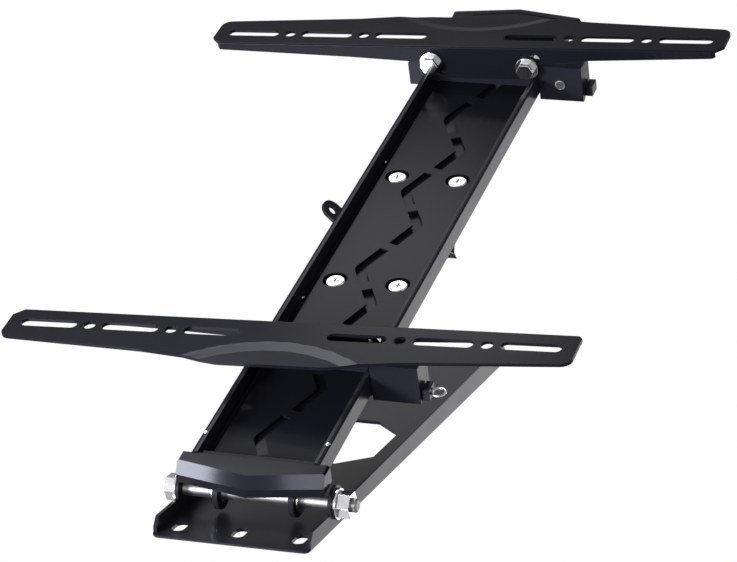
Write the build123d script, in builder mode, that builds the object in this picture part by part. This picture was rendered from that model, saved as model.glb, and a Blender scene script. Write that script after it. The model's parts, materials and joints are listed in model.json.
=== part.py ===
"""Tilt and swivel wall mount for a television.

A wall plate carries a swing arm on a vertical hinge. The arm carries a wide rail on a
second vertical pivot, and two tilting arms with slots for the screen hook over the rail.
Millimetres. X is to the right when facing the wall, Y points into the wall, Z is up.
The wall face of the wall plate lies in the plane Y = 0, centred on the origin.

Pieces are drawn with the hinge axis on the local Z axis, the rail along X, and heights
in front of the hinge axes along -Y. The poses below then place them.
"""
from build123d import *
from math import atan2, cos, degrees, hypot, radians, sin, sqrt
import os

os.makedirs("parts", exist_ok=True)

# Pose shown at rest, degrees
SWING = 16.8
REST_TILT = -2.5

# Drawing aids
HEX_SIDES = 6
PICK = 0.1                # tolerance when edges and corners are picked by their place
UPRIGHT = 90.0            # turns a slot along the screen arm, degrees
BELOW = -90.0             # from the tilt axis straight to the rail, degrees

# Bends, as shares of the sheet's or the head's thickness
PLATE_BEND = 0.8
ARM_BEND = 0.3
RAIL_BEND = 0.6
SCREEN_ARM_BEND = 0.7
SCREW_DOME = 0.6

# Clearances
BORE_CLEARANCE = 0.05     # radial, pins and bushes in their bores
SIDE_CLEARANCE = 0.3      # between faces that move past each other
RAIL_CLEARANCE = 0.5      # hook bracket around the rail

# Wall plate
PLATE_LENGTH = 448.0
PLATE_WIDTH = 115.0
PLATE_SHEET = 2.5
FLANGE_NEAR = 13.0        # flange height at the hinge end
FLANGE_FAR = 17.0         # flange height at the far end
FLANGE_CORNER = 5.0
HINGE_INSET = 57.0        # hinge axis from the plate's end
HINGE_DEPTH = 17.0        # hinge axis from the wall
EAR_RADIUS = 13.0
WINDOW_INSET = 173.0      # window from the plate's end
WINDOW_LENGTH = 98.0
WINDOW_WIDTH = 70.0
WINDOW_CHAMFER = 22.0
WALL_SLOT_LENGTH = 18.0
WALL_SLOT_WIDTH = 9.0
WALL_SLOT_SPACING = 44.0
WALL_SLOT_INSET = 21.0    # slots from each end of the plate

# Hinge between wall plate and swing arm
HINGE_BOLT_D = 10.0
HINGE_HEX = 17.0
HINGE_HEAD = 7.0
HINGE_NUT = 9.0
HINGE_WASHER_D = 22.0
HINGE_WASHER_T = 2.5
BOLT_END = 4.0            # thread standing out past a nut
BOLT_TIP = 1.0
RING_D = 19.0
RING_T = 1.8
BUSH_WALL = 1.5

# Swing arm
ARM_SHEET = 4.0
ARM_WIDTH = 60.0
ARM_FRONT = 8.5           # front of the channel before the hinge axes
ARM_BACK = 6.0            # flange edges behind the hinge axes
PIVOT_DISTANCE = 330.0    # from hinge axis to pivot axis
LUG_RADIUS = 12.5
FORK_RADIUS = 10.0
WEB_INSET = 16.0          # web of the channel from the hinge axis
WEB_PIVOT_INSET = 8.0     # web of the channel from the pivot axis
FACE_SHEET = 2.0
FACE_WIDTH = 86.0
FACE_START = 26.0
FACE_TAPER = 24.0
FACE_PIVOT_INSET = 16.0
FACE_CORNER = 4.0

# Pivot between swing arm and rail
PIVOT_BOLT_D = 10.0
PIVOT_HEX = 16.0
PIVOT_HEAD = 6.5
PIVOT_NUT = 8.0
PIVOT_WASHER_D = 20.0
PIVOT_WASHER_T = 1.5
BRACKET_SHEET = 2.5
BRACKET_LENGTH = 176.0
BRACKET_CORNER = 4.0
BRACKET_EAR = 4.0
BRACKET_EAR_RADIUS = 10.0

# Rail
RAIL_START = 4.5          # from the hinge axis, along the rail
RAIL_LENGTH = 626.0
RAIL_WIDTH = 95.0
RAIL_SHEET = 2.5
RAIL_BACK = 13.5          # back of the rail before the hinge axes
RAIL_HEIGHT = 16.0
LIP_WIDTH = 4.5
LIP_HOLE_D = 3.0
LIP_HOLE_INSET = 23.0
EYE_RADIUS = 9.0
EYE_REACH = 7.0
EYE_HOLE_D = 7.0
EYE_LEAN = 45.0

# Cover plate and its screws
COVER_SHEET = 1.5
COVER_WIDTH = 80.0
COVER_RISE = 4.0          # front of the cover before the rail's web
COVER_INSET = 8.0         # from each end of the rail
ACCESS_HOLE_D = 19.0
SCREW_SPACING_X = 149.4
SCREW_SPACING_Z = 49.4
SCREW_D = 8.0
SCREW_HEAD_D = 16.0
SCREW_HEAD_T = 3.4
SCREW_CROSS = 8.0
SCREW_CROSS_WIDTH = 1.6
SCREW_CROSS_DEPTH = 1.8
ZIGZAG_COUNT = 5
ZIGZAG_PITCH = 110.2
ZIGZAG_WIDTH = 7.4
ZIGZAG_LONG = 26.6
ZIGZAG_SHORT = 20.0
ZIGZAG_RISE = 14.5
ZIGZAG_OFFSET = 1.5       # from the rail's middle to a slot's ends
ZIGZAG_INSET = 36.0       # first upper peak from the rail's start
ZIGZAG_SHIFT = 64.5       # from an upper peak to the next lower peak

# End caps
CAP_WIDTH = 108.8
CAP_FRONT = 28.4          # top of the cap before the hinge axes
CAP_BACK = 14.0
CAP_SIDE = 10.0           # length of the cap at its sides
CAP_POINT = 10.6          # extra length at the middle
CAP_BEVEL_HEIGHT = 12.4
CAP_BEVEL_ANGLE = 26.0
CAP_PLUG = 6.5            # length inside the rail
CAP_GROOVE = 1.2
CAP_GROOVE_INSET = 5.5
CAP_GROOVE_WIDTH = 74.0

# Screen arms, drawn with the bend in the plane X = 0 and the face toward +X
SCREEN_ARM_LENGTH = 435.0
SCREEN_ARM_SHEET = 2.5
SCREEN_ARM_RISE = 17.0    # middle of the arm above the middle of the rail
ARM_END_WIDTH = 36.0
ARM_SHOULDER_WIDTH = 44.5
ARM_SHOULDER_HALF = 100.0
BULGE_WIDTH = 53.0
BULGE_HALF = 40.0
ARM_CORNER = 8.0
FACE_HEIGHT = 55.0        # screen face before the hinge axes
END_FLANGE = 6.0
MID_FLANGE = 11.0
MID_FLANGE_HALF = 95.0
TAB_SHOULDER_HALF = 57.0
SLOT_LINE = 17.5
SLOT_LENGTH = 44.7
SLOT_WIDTH = 9.4
SLOT_PITCH = 32.3
SLOT_FIRST = 55.1
NEAR_ARM_X = 135.0        # bend of each arm from the hinge axis
FAR_ARM_X = 538.0

# Tilt
TILT_AXIS_HEIGHT = 79.5   # tilt axis before the hinge axes
TILT_UP = 5.0             # range either way from upright, degrees
TILT_DOWN = 8.0
TILT_BOLT_SPACING = 80.6
TILT_BOLT_HEIGHT = 39.0
TILT_BOLT_D = 8.0
TILT_HEX = 13.0
TILT_HEAD = 6.5
TILT_WASHER_D = 19.0
TILT_WASHER_T = 2.0
TILT_NUT = 6.5
TAB_EDGE = 7.0            # tab beyond the middle of its arc slots
TAB_HALF = 36.0           # straight lower edge of the tab

# Hook brackets
HOOK_SHEET = 4.0
HOOK_FRONT = 44.0
HOOK_HALF = 48.0
HOOK_CORNER = 3.0
NOSE_WIDTH = 14.0
NOSE_BACK = 16.0
NOSE_FRONT = 35.0
LOCK_END = 84.0           # lower end below the middle of the rail
LOCK_BACK = 9.0
LOCK_FRONT = 39.0

# Locks
LOCK_DEPTH = 17.0
LOCK_WALL = 2.0
LATCH_T = 2.4
LATCH_GRIP = 3.0          # latch behind the rail's lower edge
KNOB_LENGTH = 6.0
KNOB_HEIGHT = 9.0
LOCK_SCREW_D = 4.0
LOCK_SCREW_HEAD_D = 8.0
LOCK_SCREW_HEAD_T = 1.8

# Values worked out from the dimensions above
PLATE_START = -HINGE_INSET
PLATE_END = PLATE_LENGTH - HINGE_INSET
PLATE_MIDDLE = (PLATE_START + PLATE_END) / 2
PLATE_HALF = PLATE_WIDTH / 2
FLOOR_BACK = -HINGE_DEPTH
ARM_HALF = ARM_WIDTH / 2
ARM_INNER = ARM_HALF - ARM_SHEET
WEB_BACK = ARM_FRONT - ARM_SHEET
EAR_INNER = ARM_HALF + SIDE_CLEARANCE
EAR_OUTER = EAR_INNER + BRACKET_EAR
BRACKET_BACK = RAIL_BACK - BRACKET_SHEET
RAIL_HALF = RAIL_WIDTH / 2
RAIL_END = RAIL_START + RAIL_LENGTH
RAIL_MIDDLE = (RAIL_START + RAIL_END) / 2
RAIL_FRONT = RAIL_BACK + RAIL_HEIGHT
RAIL_WEB_FRONT = RAIL_BACK + RAIL_SHEET
COVER_FRONT = RAIL_WEB_FRONT + COVER_RISE
SCREEN_HALF = SCREEN_ARM_LENGTH / 2
FACE_BACK = FACE_HEIGHT - SCREEN_ARM_SHEET
TILT_BOLT_HALF = TILT_BOLT_SPACING / 2
TILT_DROP = TILT_AXIS_HEIGHT - TILT_BOLT_HEIGHT
TILT_RADIUS = hypot(TILT_BOLT_HALF, TILT_DROP)
TILT_BOLT_ANGLE = degrees(atan2(TILT_BOLT_HALF, TILT_DROP))
TAB_RADIUS = TILT_RADIUS + TAB_EDGE
HOOK_X = SCREEN_ARM_SHEET + SIDE_CLEARANCE
HOOK_OUTER_X = HOOK_X + HOOK_SHEET
LOCK_SIDE = RAIL_HALF + RAIL_CLEARANCE

# Poses of the wall parts, the swung parts and the tilted parts
WALL_POSE = Location((-PLATE_MIDDLE, -HINGE_DEPTH, 0))
SWING_POSE = WALL_POSE * Location((0, 0, 0), (0, 0, -SWING))
TILT = (
    Location((0, -TILT_AXIS_HEIGHT, 0))
    * Location((0, 0, 0), (REST_TILT, 0, 0))
    * Location((0, TILT_AXIS_HEIGHT, 0))
)


def front(height):
    """Plane facing the viewer: local x along the rail, local y up."""
    return Plane.XZ.offset(height)


def across(x):
    """Plane across the rail: local x up, local y toward the viewer."""
    return Plane(origin=(x, 0, 0), x_dir=(0, 0, 1), z_dir=(1, 0, 0))


def level(z):
    """Level plane facing down: local x along the rail, local y toward the viewer."""
    return Plane(origin=(0, 0, z), x_dir=(1, 0, 0), z_dir=(0, 0, -1))


def save(solid, label, pose):
    """Puts a finished piece in its place, names it and writes its file."""
    placed = solid.moved(pose)
    placed.label = label
    export_step(placed, f"parts/{label}.step")


def hexagon(across_flats):
    """Adds a hexagon of a given width across its flats."""
    return RegularPolygon(across_flats / sqrt(3), HEX_SIDES)


# Wall plate: floor, side flanges with hinge ears, window and wall slots
with BuildPart() as wall_plate:
    with BuildSketch(front(FLOOR_BACK)):
        with Locations((PLATE_MIDDLE, 0)):
            RectangleRounded(PLATE_LENGTH, PLATE_WIDTH, FLANGE_CORNER)
    extrude(amount=PLATE_SHEET)
    for side in (-1, 1):
        with BuildSketch(level(side * PLATE_HALF)):
            with BuildLine():
                Polyline(
                    (PLATE_START + FLANGE_CORNER, FLOOR_BACK),
                    (PLATE_START + FLANGE_CORNER, FLOOR_BACK + FLANGE_NEAR / 2),
                    (PLATE_START + 2 * FLANGE_CORNER, FLOOR_BACK + FLANGE_NEAR),
                    (0, FLOOR_BACK + FLANGE_NEAR),
                    (PLATE_END - 2 * FLANGE_CORNER, FLOOR_BACK + FLANGE_FAR),
                    (PLATE_END - FLANGE_CORNER, FLOOR_BACK + FLANGE_FAR / 2),
                    (PLATE_END - FLANGE_CORNER, FLOOR_BACK),
                    close=True,
                )
            make_face()
            Circle(EAR_RADIUS)
            Circle(HINGE_BOLT_D / 2 + BORE_CLEARANCE, mode=Mode.SUBTRACT)
        extrude(amount=side * PLATE_SHEET)
    floor_edges = wall_plate.edges().filter_by(Axis.X).group_by(Axis.Y)[-1]
    fillet(floor_edges, PLATE_SHEET * PLATE_BEND)
    with BuildSketch(front(FLOOR_BACK)) as openings:
        with Locations((PLATE_START + WINDOW_INSET + WINDOW_LENGTH / 2, 0)):
            Rectangle(WINDOW_LENGTH, WINDOW_WIDTH)
        chamfer(openings.vertices(), WINDOW_CHAMFER)
        for column in (PLATE_START + WALL_SLOT_INSET, PLATE_END - WALL_SLOT_INSET):
            with Locations(*[(column, row * WALL_SLOT_SPACING) for row in (-1, 0, 1)]):
                SlotOverall(WALL_SLOT_LENGTH, WALL_SLOT_WIDTH)
    extrude(amount=PLATE_SHEET, mode=Mode.SUBTRACT)

# Hinge bolt with its head above the upper ear and its thread below the lower ear
HEAD_SEAT = PLATE_HALF + HINGE_WASHER_T
with BuildPart() as hinge_bolt:
    with BuildSketch(Plane.XY.offset(-HEAD_SEAT - HINGE_NUT - BOLT_END)):
        Circle(HINGE_BOLT_D / 2)
    extrude(amount=2 * HEAD_SEAT + HINGE_NUT + BOLT_END)
    with BuildSketch(Plane.XY.offset(HEAD_SEAT)):
        hexagon(HINGE_HEX)
    extrude(amount=HINGE_HEAD)
    chamfer(hinge_bolt.faces().sort_by(Axis.Z)[0].edges(), BOLT_TIP)

with BuildPart() as hinge_nut:
    with BuildSketch(Plane.XY.offset(-HEAD_SEAT - HINGE_NUT)):
        hexagon(HINGE_HEX)
        Circle(HINGE_BOLT_D / 2 + BORE_CLEARANCE, mode=Mode.SUBTRACT)
    extrude(amount=HINGE_NUT)

with BuildPart() as hinge_washers:
    for start in (PLATE_HALF, -PLATE_HALF - HINGE_WASHER_T):
        with BuildSketch(Plane.XY.offset(start)):
            Circle(HINGE_WASHER_D / 2)
            Circle(HINGE_BOLT_D / 2 + BORE_CLEARANCE, mode=Mode.SUBTRACT)
        extrude(amount=HINGE_WASHER_T)

# Rings clipped to the bolt keep the arm from sliding along it
RING_SEAT = ARM_HALF + SIDE_CLEARANCE
with BuildPart() as hinge_rings:
    for start in (RING_SEAT, -RING_SEAT - RING_T):
        with BuildSketch(Plane.XY.offset(start)):
            Circle(RING_D / 2)
            Circle(HINGE_BOLT_D / 2 + BORE_CLEARANCE, mode=Mode.SUBTRACT)
        extrude(amount=RING_T)

# Swing arm: channel open to the wall, with two lugs at the hinge and a fork at the pivot
HINGE_BUSH_R = HINGE_BOLT_D / 2 + BORE_CLEARANCE + BUSH_WALL
PIVOT_BUSH_R = PIVOT_BOLT_D / 2 + BORE_CLEARANCE + BUSH_WALL
with BuildPart() as swing_arm:
    for top in (ARM_HALF, -ARM_INNER):
        with BuildSketch(level(top)):
            with BuildLine():
                Polyline(
                    (0, -ARM_BACK),
                    (PIVOT_DISTANCE, -ARM_BACK),
                    (PIVOT_DISTANCE, ARM_FRONT),
                    (0, ARM_FRONT),
                    close=True,
                )
            make_face()
            Circle(LUG_RADIUS)
            Circle(HINGE_BUSH_R + BORE_CLEARANCE, mode=Mode.SUBTRACT)
            with Locations((PIVOT_DISTANCE, 0)):
                Circle(FORK_RADIUS)
                Circle(PIVOT_BUSH_R + BORE_CLEARANCE, mode=Mode.SUBTRACT)
        extrude(amount=ARM_SHEET)
    web_end = PIVOT_DISTANCE - WEB_PIVOT_INSET
    with BuildSketch(front(WEB_BACK)):
        with Locations(((WEB_INSET + web_end) / 2, 0)):
            Rectangle(web_end - WEB_INSET, ARM_WIDTH)
    extrude(amount=ARM_SHEET)
    bends = swing_arm.edges().filter_by(Axis.X).filter_by(
        lambda e: e.length > PIVOT_DISTANCE / 2 and abs(e.center().Z) > ARM_HALF - PICK
        and e.center().Y < -WEB_BACK
    )
    chamfer(bends, ARM_SHEET * ARM_BEND)

# Broad plate welded to the front of the arm, tapered toward the hinge
FACE_END = PIVOT_DISTANCE - FACE_PIVOT_INSET
with BuildPart() as arm_face_plate:
    with BuildSketch(front(ARM_FRONT)):
        with BuildLine():
            Polyline(
                (FACE_START, -ARM_HALF),
                (FACE_START + FACE_TAPER, -FACE_WIDTH / 2),
                (FACE_END, -FACE_WIDTH / 2),
                (FACE_END, FACE_WIDTH / 2),
                (FACE_START + FACE_TAPER, FACE_WIDTH / 2),
                (FACE_START, ARM_HALF),
                close=True,
            )
        make_face()
    extrude(amount=FACE_SHEET)
    fillet(arm_face_plate.edges().filter_by(Axis.Y).group_by(Axis.X)[-1], FACE_CORNER)

with BuildPart() as hinge_bushes:
    for start in (ARM_INNER, -ARM_HALF):
        with BuildSketch(Plane.XY.offset(start)):
            Circle(HINGE_BUSH_R)
            Circle(HINGE_BOLT_D / 2 + BORE_CLEARANCE, mode=Mode.SUBTRACT)
        extrude(amount=ARM_SHEET)

with BuildPart() as pivot_bushes:
    for start in (ARM_INNER, -ARM_HALF):
        with BuildSketch(Plane.XY.offset(start)):
            with Locations((PIVOT_DISTANCE, 0)):
                Circle(PIVOT_BUSH_R)
                Circle(PIVOT_BOLT_D / 2 + BORE_CLEARANCE, mode=Mode.SUBTRACT)
        extrude(amount=ARM_SHEET)

# Pivot bracket: plate behind the rail with two ears outside the arm's fork
with BuildPart() as pivot_bracket:
    with BuildSketch(front(BRACKET_BACK)):
        with Locations((RAIL_MIDDLE, 0)):
            RectangleRounded(BRACKET_LENGTH, 2 * EAR_OUTER, BRACKET_CORNER)
            with GridLocations(SCREW_SPACING_X, SCREW_SPACING_Z, 2, 2):
                Circle(SCREW_D / 2 + BORE_CLEARANCE, mode=Mode.SUBTRACT)
    extrude(amount=BRACKET_SHEET)
    for top in (EAR_OUTER, -EAR_INNER):
        with BuildSketch(level(top)):
            with Locations((PIVOT_DISTANCE, RAIL_BACK / 2)):
                Rectangle(2 * BRACKET_EAR_RADIUS, RAIL_BACK)
            with Locations((PIVOT_DISTANCE, 0)):
                Circle(BRACKET_EAR_RADIUS)
                Circle(PIVOT_BOLT_D / 2 + BORE_CLEARANCE, mode=Mode.SUBTRACT)
        extrude(amount=BRACKET_EAR)

PIVOT_SEAT = EAR_OUTER + PIVOT_WASHER_T
with BuildPart() as pivot_bolt:
    with BuildSketch(Plane.XY.offset(-PIVOT_SEAT)):
        with Locations((PIVOT_DISTANCE, 0)):
            Circle(PIVOT_BOLT_D / 2)
    extrude(amount=2 * PIVOT_SEAT + PIVOT_NUT + BOLT_END / 2)
    with BuildSketch(Plane.XY.offset(-PIVOT_SEAT - PIVOT_HEAD)):
        with Locations((PIVOT_DISTANCE, 0)):
            hexagon(PIVOT_HEX)
    extrude(amount=PIVOT_HEAD)

with BuildPart() as pivot_nut:
    with BuildSketch(Plane.XY.offset(PIVOT_SEAT)):
        with Locations((PIVOT_DISTANCE, 0)):
            hexagon(PIVOT_HEX)
            Circle(PIVOT_BOLT_D / 2 + BORE_CLEARANCE, mode=Mode.SUBTRACT)
    extrude(amount=PIVOT_NUT)

with BuildPart() as pivot_washers:
    for start in (EAR_OUTER, -PIVOT_SEAT):
        with BuildSketch(Plane.XY.offset(start)):
            with Locations((PIVOT_DISTANCE, 0)):
                Circle(PIVOT_WASHER_D / 2)
                Circle(PIVOT_BOLT_D / 2 + BORE_CLEARANCE, mode=Mode.SUBTRACT)
        extrude(amount=PIVOT_WASHER_T)

# Rail: channel open to the viewer, with inturned lips and a leaning eye on its upper wall
with BuildPart() as rail:
    with BuildSketch(across(RAIL_START)):
        with BuildLine():
            Polyline(
                (-RAIL_HALF, RAIL_BACK),
                (RAIL_HALF, RAIL_BACK),
                (RAIL_HALF, RAIL_FRONT),
                (RAIL_HALF - LIP_WIDTH, RAIL_FRONT),
                (RAIL_HALF - LIP_WIDTH, RAIL_FRONT - RAIL_SHEET),
                (RAIL_HALF - RAIL_SHEET, RAIL_FRONT - RAIL_SHEET),
                (RAIL_HALF - RAIL_SHEET, RAIL_WEB_FRONT),
                (RAIL_SHEET - RAIL_HALF, RAIL_WEB_FRONT),
                (RAIL_SHEET - RAIL_HALF, RAIL_FRONT - RAIL_SHEET),
                (LIP_WIDTH - RAIL_HALF, RAIL_FRONT - RAIL_SHEET),
                (LIP_WIDTH - RAIL_HALF, RAIL_FRONT),
                (-RAIL_HALF, RAIL_FRONT),
                close=True,
            )
        make_face()
    extrude(amount=RAIL_LENGTH)
    outer_bends = rail.edges().filter_by(Axis.X).filter_by(lambda e: abs(e.center().Z) > RAIL_HALF - PICK)
    fillet(outer_bends, RAIL_SHEET * RAIL_BEND)
    with BuildSketch(front(RAIL_FRONT)):
        for end in (RAIL_START + LIP_HOLE_INSET, RAIL_END - LIP_HOLE_INSET):
            with Locations((end, RAIL_HALF - LIP_WIDTH / 2), (end, LIP_WIDTH / 2 - RAIL_HALF)):
                Circle(LIP_HOLE_D / 2)
    extrude(amount=-RAIL_SHEET, mode=Mode.SUBTRACT)
    with BuildSketch(front(RAIL_BACK)):
        with Locations((RAIL_MIDDLE, 0)):
            with GridLocations(SCREW_SPACING_X, SCREW_SPACING_Z, 2, 2):
                Circle(SCREW_D / 2 + BORE_CLEARANCE)
    extrude(amount=RAIL_SHEET, mode=Mode.SUBTRACT)
    lean = radians(EYE_LEAN)
    eye_plane = Plane(
        origin=(RAIL_MIDDLE, -(RAIL_FRONT - RAIL_SHEET), RAIL_HALF - RAIL_SHEET / 2),
        x_dir=(1, 0, 0),
        z_dir=(0, -cos(lean), -sin(lean)),
    )
    with BuildSketch(eye_plane):
        with Locations((0, EYE_REACH / 2)):
            Rectangle(2 * EYE_RADIUS, EYE_REACH)
        with Locations((0, EYE_REACH)):
            Circle(EYE_RADIUS)
            Circle(EYE_HOLE_D / 2, mode=Mode.SUBTRACT)
    extrude(amount=RAIL_SHEET / 2, both=True)


def zigzag_slot(peak_x, side):
    """One bent slot: side is 1 with its peak up and -1 with its peak down."""
    peak = Vector(peak_x, side * (ZIGZAG_OFFSET + ZIGZAG_RISE))
    for reach in (side * ZIGZAG_LONG, -side * ZIGZAG_SHORT):
        foot = Vector(peak_x + reach, side * ZIGZAG_OFFSET)
        leg = foot - peak
        with Locations((peak + foot) / 2):
            SlotCenterToCenter(leg.length, ZIGZAG_WIDTH, rotation=degrees(atan2(leg.Y, leg.X)))


# Cover plate: shallow tray on the rail's web with bent slots and holes over the screws
COVER_LENGTH = RAIL_LENGTH - 2 * COVER_INSET
with BuildPart() as cover_plate:
    with BuildSketch(front(RAIL_WEB_FRONT)):
        with Locations((RAIL_MIDDLE, 0)):
            RectangleRounded(COVER_LENGTH, COVER_WIDTH, 2.0)
    extrude(amount=COVER_RISE)
    chamfer(cover_plate.faces().sort_by(Axis.Y)[0].outer_wire().edges(), COVER_SHEET * 0.5)
    with BuildSketch(front(RAIL_WEB_FRONT)):
        with Locations((RAIL_MIDDLE, 0)):
            Rectangle(COVER_LENGTH - 2 * COVER_SHEET, COVER_WIDTH - 2 * COVER_SHEET)
    extrude(amount=COVER_RISE - COVER_SHEET, mode=Mode.SUBTRACT)
    with BuildSketch(front(COVER_FRONT)):
        for index in range(ZIGZAG_COUNT):
            upper_peak = RAIL_START + ZIGZAG_INSET + index * ZIGZAG_PITCH
            zigzag_slot(upper_peak, 1)
            zigzag_slot(upper_peak + ZIGZAG_SHIFT, -1)
        with Locations((RAIL_MIDDLE, 0)):
            with GridLocations(SCREW_SPACING_X, SCREW_SPACING_Z, 2, 2):
                Circle(ACCESS_HOLE_D / 2)
    extrude(amount=-COVER_SHEET, mode=Mode.SUBTRACT)

# Pan-head screws with a cross recess, cut into the pivot bracket
with BuildPart() as rail_screws:
    with BuildSketch(front(BRACKET_BACK)):
        with Locations((RAIL_MIDDLE, 0)):
            with GridLocations(SCREW_SPACING_X, SCREW_SPACING_Z, 2, 2):
                Circle(SCREW_D / 2)
    extrude(amount=BRACKET_SHEET + RAIL_SHEET)
    with BuildSketch(front(RAIL_WEB_FRONT)):
        with Locations((RAIL_MIDDLE, 0)):
            with GridLocations(SCREW_SPACING_X, SCREW_SPACING_Z, 2, 2):
                Circle(SCREW_HEAD_D / 2)
    extrude(amount=SCREW_HEAD_T)
    fillet(rail_screws.edges().filter_by(GeomType.CIRCLE).group_by(Axis.Y)[0], SCREW_HEAD_T * SCREW_DOME)
    with BuildSketch(front(RAIL_WEB_FRONT + SCREW_HEAD_T)):
        with Locations((RAIL_MIDDLE, 0)):
            with GridLocations(SCREW_SPACING_X, SCREW_SPACING_Z, 2, 2):
                Rectangle(SCREW_CROSS, SCREW_CROSS_WIDTH)
                Rectangle(SCREW_CROSS_WIDTH, SCREW_CROSS)
    extrude(amount=-SCREW_CROSS_DEPTH, mode=Mode.SUBTRACT)

# End cap at the hinge end: pointed moulding with a bevelled nose and a plug in the rail
CAP_TIP = RAIL_START - CAP_SIDE - CAP_POINT
CAP_SHOULDER = RAIL_START - CAP_SIDE
BEVEL_REACH = CAP_BEVEL_HEIGHT * sin(radians(CAP_BEVEL_ANGLE)) / cos(radians(CAP_BEVEL_ANGLE))
with BuildPart() as end_cap:
    with BuildSketch(front(CAP_FRONT)):
        with BuildLine():
            Polyline(
                (RAIL_START + CAP_SIDE, -CAP_WIDTH),
                (CAP_SHOULDER + CAP_POINT, -CAP_WIDTH),
                (CAP_TIP, 0),
                (CAP_SHOULDER + CAP_POINT, CAP_WIDTH),
                (RAIL_START + CAP_SIDE, CAP_WIDTH),
                close=True,
            )
        make_face()
    extrude(amount=-CAP_BEVEL_HEIGHT, taper=-CAP_BEVEL_ANGLE)
    extrude(end_cap.faces().sort_by(Axis.Y)[-1], amount=CAP_FRONT - CAP_BEVEL_HEIGHT - CAP_BACK)
    with BuildSketch(across(CAP_TIP - BEVEL_REACH - 1)):
        with Locations((0, (CAP_FRONT + CAP_BACK) / 2)):
            RectangleRounded(CAP_WIDTH, CAP_FRONT - CAP_BACK, 2.0)
    extrude(amount=RAIL_START - CAP_TIP + BEVEL_REACH + 1, mode=Mode.INTERSECT)
    with BuildSketch(across(RAIL_START)):
        with Locations((0, (RAIL_WEB_FRONT + CAP_FRONT - RAIL_SHEET) / 2)):
            Rectangle(
                2 * (RAIL_HALF - LIP_WIDTH - SIDE_CLEARANCE),
                CAP_FRONT - RAIL_SHEET - RAIL_WEB_FRONT - SIDE_CLEARANCE,
            )
    extrude(amount=CAP_PLUG)
    slope = CAP_POINT / (CAP_WIDTH / 2)
    groove_tip = CAP_TIP + CAP_GROOVE_INSET
    groove_back = groove_tip + slope * CAP_GROOVE_WIDTH / 2
    with BuildSketch(front(CAP_FRONT)):
        with BuildLine():
            Polyline(
                (groove_back, -CAP_GROOVE_WIDTH / 2),
                (groove_tip, 0),
                (groove_back, CAP_GROOVE_WIDTH / 2),
                (groove_back + CAP_GROOVE, CAP_GROOVE_WIDTH / 2),
                (groove_tip + CAP_GROOVE, 0),
                (groove_back + CAP_GROOVE, -CAP_GROOVE_WIDTH / 2),
                close=True,
            )
        make_face()
    extrude(amount=-CAP_GROOVE, mode=Mode.SUBTRACT)


def on_tilt_circle(angle, radius):
    """Point at an angle from straight behind the tilt axis, as height up and height before."""
    return radius * sin(radians(angle)), TILT_AXIS_HEIGHT - radius * cos(radians(angle))


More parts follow.
